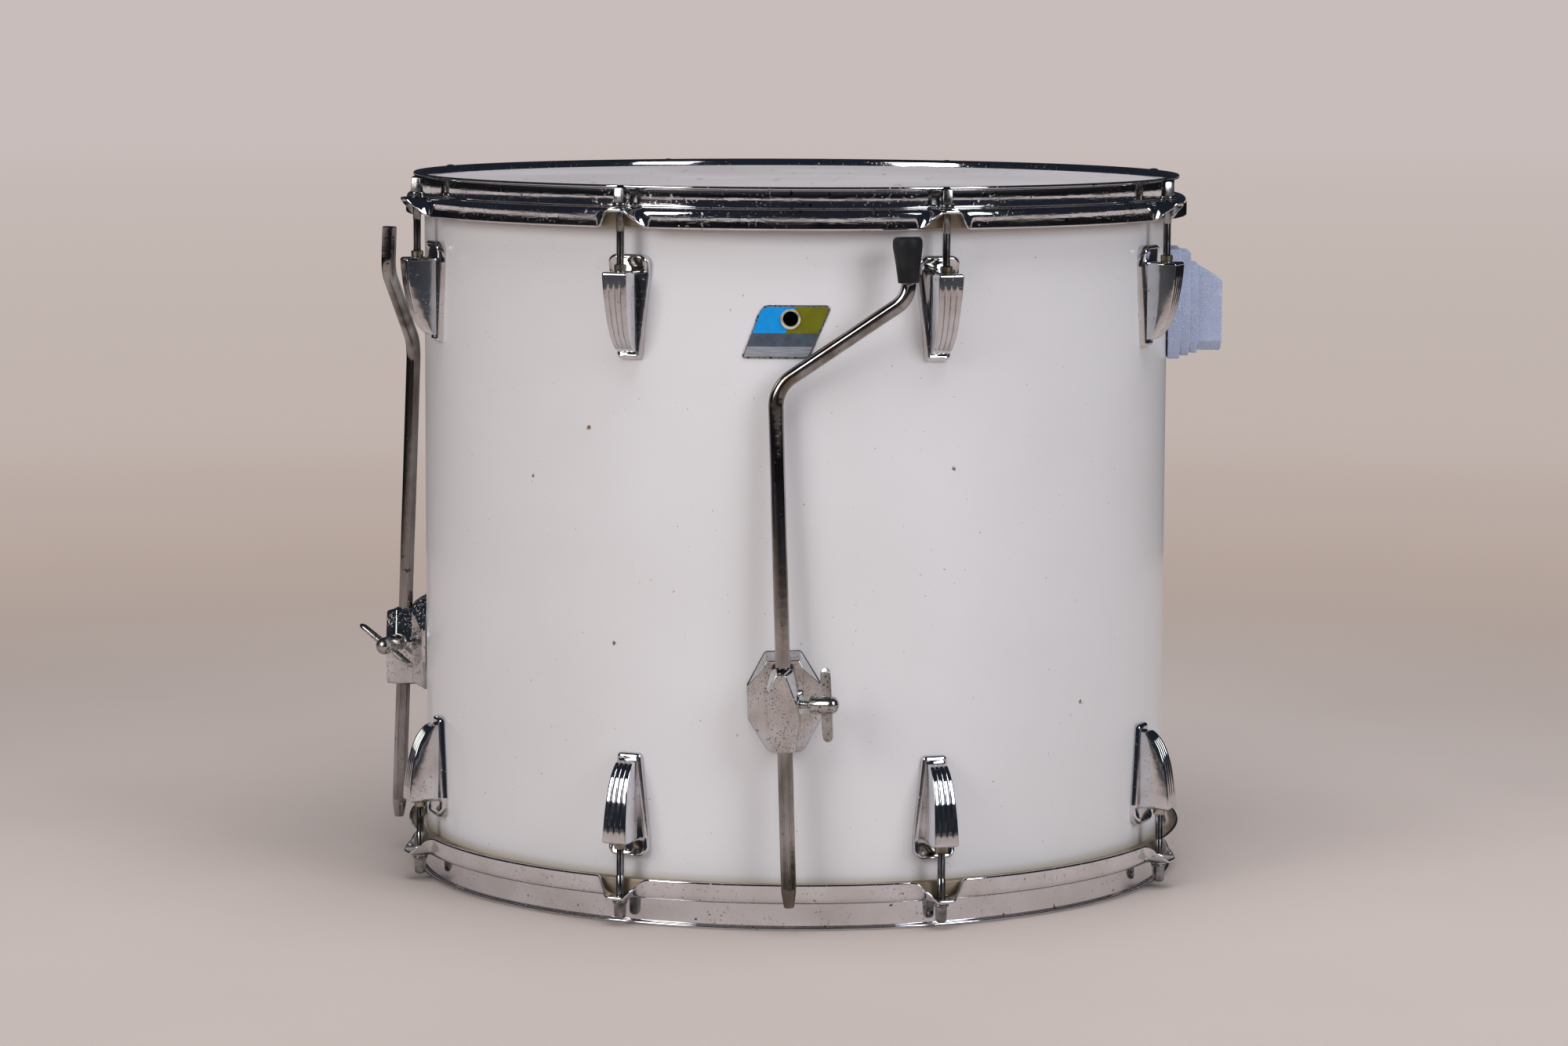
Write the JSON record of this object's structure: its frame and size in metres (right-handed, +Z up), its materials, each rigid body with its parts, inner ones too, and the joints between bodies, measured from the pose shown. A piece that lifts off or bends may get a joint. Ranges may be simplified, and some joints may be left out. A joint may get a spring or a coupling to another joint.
{
  "type": "tom tom drum",
  "caption": "Large double-headed tom tom with a white-wrapped wooden shell, tensioned chrome hoops, clamped crank legs stored upside down and a cast block for a tom arm.",
  "frame": {"origin": "on the drum's axis, at the level of the lower rim that it stands on", "axes": "+Z up along the drum's axis, -Y towards the badge and front leg, +X towards the tom arm block"},
  "size_m": [0.5842, 0.5478, 0.469],
  "materials": {
    "shell_ply": "clear lacquered three-ply maple and poplar",
    "white_wrap": "glossy white cellulose nitrate sheet, slightly yellowed",
    "batter_film": "coated polyester film, worn at the centre",
    "resonant_film": "smooth white polyester film",
    "hoop_aluminium": "dull rolled channel",
    "hoop_chrome": "chrome plate with light pitting and water marks",
    "cast_chrome": "chrome-plated die casting with pitting",
    "leg_steel": "worn chrome on steel rod, tarnished",
    "rod_steel": "nickel-plated steel, greyed threads",
    "bolt_nickel": "nickel plate, pitted",
    "nut_brass": "plated brass",
    "fastener_steel": "zinc-plated steel",
    "badge_enamel": "stamped metal plate in blue, olive and grey enamel",
    "grommet_brass": "plated brass eyelet, tarnished",
    "cast_block": "sand-textured casting, dull blue-grey",
    "foot_rubber": "moulded black rubber"
  },
  "bodies": {
    "drum": {"badge": "badge_enamel", "batter_flesh_hoop": "hoop_aluminium", "batter_head": "batter_film", "block_screw_washers": "fastener_steel", "block_screws": "fastener_steel", "bottom_hoop": "hoop_chrome", "bottom_lugs": "cast_chrome", "bottom_rod_washers": "fastener_steel", "bottom_swivel_nuts": "nut_brass", "bracket_screw_washers": "fastener_steel", "bracket_screws": "fastener_steel", "front_leg_bracket": "cast_chrome", "left_leg_bracket": "cast_chrome", "lower_reinforcement_ring": "shell_ply", "lug_screw_washers": "fastener_steel", "lug_screws": "fastener_steel", "rear_leg_bracket": "cast_chrome", "resonant_flesh_hoop": "hoop_aluminium", "resonant_head": "resonant_film", "shell": "shell_ply", "shell_wrap": "white_wrap", "tom_arm_block": "cast_block", "top_hoop": "hoop_chrome", "top_lugs": "cast_chrome", "top_rod_washers": "fastener_steel", "top_swivel_nuts": "nut_brass", "upper_reinforcement_ring": "shell_ply", "vent_grommet": "grommet_brass"},
    "front_leg": {"front_leg_shank": "leg_steel", "front_leg_crank": "leg_steel", "front_rubber_tip": "foot_rubber"},
    "left_leg": {"left_leg_shank": "leg_steel", "left_leg_crank": "leg_steel"},
    "rear_leg": {"rear_leg_shank": "leg_steel", "rear_leg_crank": "leg_steel", "rear_rubber_tip": "foot_rubber"},
    "front_clamp_bolt": {"front_clamp_bolt": "bolt_nickel"},
    "left_clamp_bolt": {"left_clamp_bolt": "bolt_nickel"},
    "rear_clamp_bolt": {"rear_clamp_bolt": "bolt_nickel"},
    "tom_arm_clamp_bolt": {"tom_arm_clamp_bolt": "bolt_nickel"},
    "tension_rod_top_1": {"tension_rod_top_1": "rod_steel"},
    "tension_rod_top_2": {"tension_rod_top_2": "rod_steel"},
    "tension_rod_top_3": {"tension_rod_top_3": "rod_steel"},
    "tension_rod_top_4": {"tension_rod_top_4": "rod_steel"},
    "tension_rod_top_5": {"tension_rod_top_5": "rod_steel"},
    "tension_rod_top_6": {"tension_rod_top_6": "rod_steel"},
    "tension_rod_top_7": {"tension_rod_top_7": "rod_steel"},
    "tension_rod_top_8": {"tension_rod_top_8": "rod_steel"},
    "tension_rod_bottom_1": {"tension_rod_bottom_1": "rod_steel"},
    "tension_rod_bottom_2": {"tension_rod_bottom_2": "rod_steel"},
    "tension_rod_bottom_3": {"tension_rod_bottom_3": "rod_steel"},
    "tension_rod_bottom_4": {"tension_rod_bottom_4": "rod_steel"},
    "tension_rod_bottom_5": {"tension_rod_bottom_5": "rod_steel"},
    "tension_rod_bottom_6": {"tension_rod_bottom_6": "rod_steel"},
    "tension_rod_bottom_7": {"tension_rod_bottom_7": "rod_steel"},
    "tension_rod_bottom_8": {"tension_rod_bottom_8": "rod_steel"}
  },
  "joints": [
    {"name": "arm_clamp_turn", "type": "hinge", "parent": "drum", "child": "tom_arm_clamp_bolt", "pos_m": [0.276, 0, 0.38], "axis": [0, 1, 0], "continuous": true},
    {"name": "front_clamp_turn", "type": "hinge", "parent": "drum", "child": "front_clamp_bolt", "pos_m": [0.00234, -0.26779, 0.1463], "axis": [0.9478, -0.316, 0.0416], "continuous": true},
    {"name": "front_leg_slide", "type": "slide", "parent": "drum", "child": "front_leg", "axis": [-0.0317, 0.0363, 0.9988], "range_m": [-0.15, 0.045]},
    {"name": "left_clamp_turn", "type": "hinge", "parent": "drum", "child": "left_clamp_bolt", "pos_m": [-0.2678, 0, 0.1463], "axis": [-0.3253, -0.9455, 0.0119], "continuous": true},
    {"name": "left_leg_slide", "type": "slide", "parent": "drum", "child": "left_leg", "axis": [0.0366, 0, 0.9993], "range_m": [-0.15, 0.045]},
    {"name": "rear_clamp_turn", "type": "hinge", "parent": "drum", "child": "rear_clamp_bolt", "pos_m": [0.18936, 0.18936, 0.1463], "axis": [-0.4385, 0.8986, 0.0119], "continuous": true},
    {"name": "rear_leg_slide", "type": "slide", "parent": "drum", "child": "rear_leg", "axis": [-0.0259, -0.0259, 0.9993], "range_m": [-0.15, 0.045]},
    {"name": "tension_rod_top_1_turn", "type": "hinge", "parent": "drum", "child": "tension_rod_top_1", "pos_m": [0.24584, 0.10183, 0.44], "axis": [0, 0, 1], "continuous": true},
    {"name": "tension_rod_top_2_turn", "type": "hinge", "parent": "drum", "child": "tension_rod_top_2", "pos_m": [0.10183, 0.24584, 0.44], "axis": [0, 0, 1], "continuous": true},
    {"name": "tension_rod_top_3_turn", "type": "hinge", "parent": "drum", "child": "tension_rod_top_3", "pos_m": [-0.10183, 0.24584, 0.44], "axis": [0, 0, 1], "continuous": true},
    {"name": "tension_rod_top_4_turn", "type": "hinge", "parent": "drum", "child": "tension_rod_top_4", "pos_m": [-0.24584, 0.10183, 0.44], "axis": [0, 0, 1], "continuous": true},
    {"name": "tension_rod_top_5_turn", "type": "hinge", "parent": "drum", "child": "tension_rod_top_5", "pos_m": [-0.24584, -0.10183, 0.44], "axis": [0, 0, 1], "continuous": true},
    {"name": "tension_rod_top_6_turn", "type": "hinge", "parent": "drum", "child": "tension_rod_top_6", "pos_m": [-0.10183, -0.24584, 0.44], "axis": [0, 0, 1], "continuous": true},
    {"name": "tension_rod_top_7_turn", "type": "hinge", "parent": "drum", "child": "tension_rod_top_7", "pos_m": [0.10183, -0.24584, 0.44], "axis": [0, 0, 1], "continuous": true},
    {"name": "tension_rod_top_8_turn", "type": "hinge", "parent": "drum", "child": "tension_rod_top_8", "pos_m": [0.24584, -0.10183, 0.44], "axis": [0, 0, 1], "continuous": true},
    {"name": "tension_rod_bottom_1_turn", "type": "hinge", "parent": "drum", "child": "tension_rod_bottom_1", "pos_m": [0.24584, 0.10183, 0.03], "axis": [0, 0, -1], "continuous": true},
    {"name": "tension_rod_bottom_2_turn", "type": "hinge", "parent": "drum", "child": "tension_rod_bottom_2", "pos_m": [0.10183, 0.24584, 0.03], "axis": [0, 0, -1], "continuous": true},
    {"name": "tension_rod_bottom_3_turn", "type": "hinge", "parent": "drum", "child": "tension_rod_bottom_3", "pos_m": [-0.10183, 0.24584, 0.03], "axis": [0, 0, -1], "continuous": true},
    {"name": "tension_rod_bottom_4_turn", "type": "hinge", "parent": "drum", "child": "tension_rod_bottom_4", "pos_m": [-0.24584, 0.10183, 0.03], "axis": [0, 0, -1], "continuous": true},
    {"name": "tension_rod_bottom_5_turn", "type": "hinge", "parent": "drum", "child": "tension_rod_bottom_5", "pos_m": [-0.24584, -0.10183, 0.03], "axis": [0, 0, -1], "continuous": true},
    {"name": "tension_rod_bottom_6_turn", "type": "hinge", "parent": "drum", "child": "tension_rod_bottom_6", "pos_m": [-0.10183, -0.24584, 0.03], "axis": [0, 0, -1], "continuous": true},
    {"name": "tension_rod_bottom_7_turn", "type": "hinge", "parent": "drum", "child": "tension_rod_bottom_7", "pos_m": [0.10183, -0.24584, 0.03], "axis": [0, 0, -1], "continuous": true},
    {"name": "tension_rod_bottom_8_turn", "type": "hinge", "parent": "drum", "child": "tension_rod_bottom_8", "pos_m": [0.24584, -0.10183, 0.03], "axis": [0, 0, -1], "continuous": true}
  ]
}
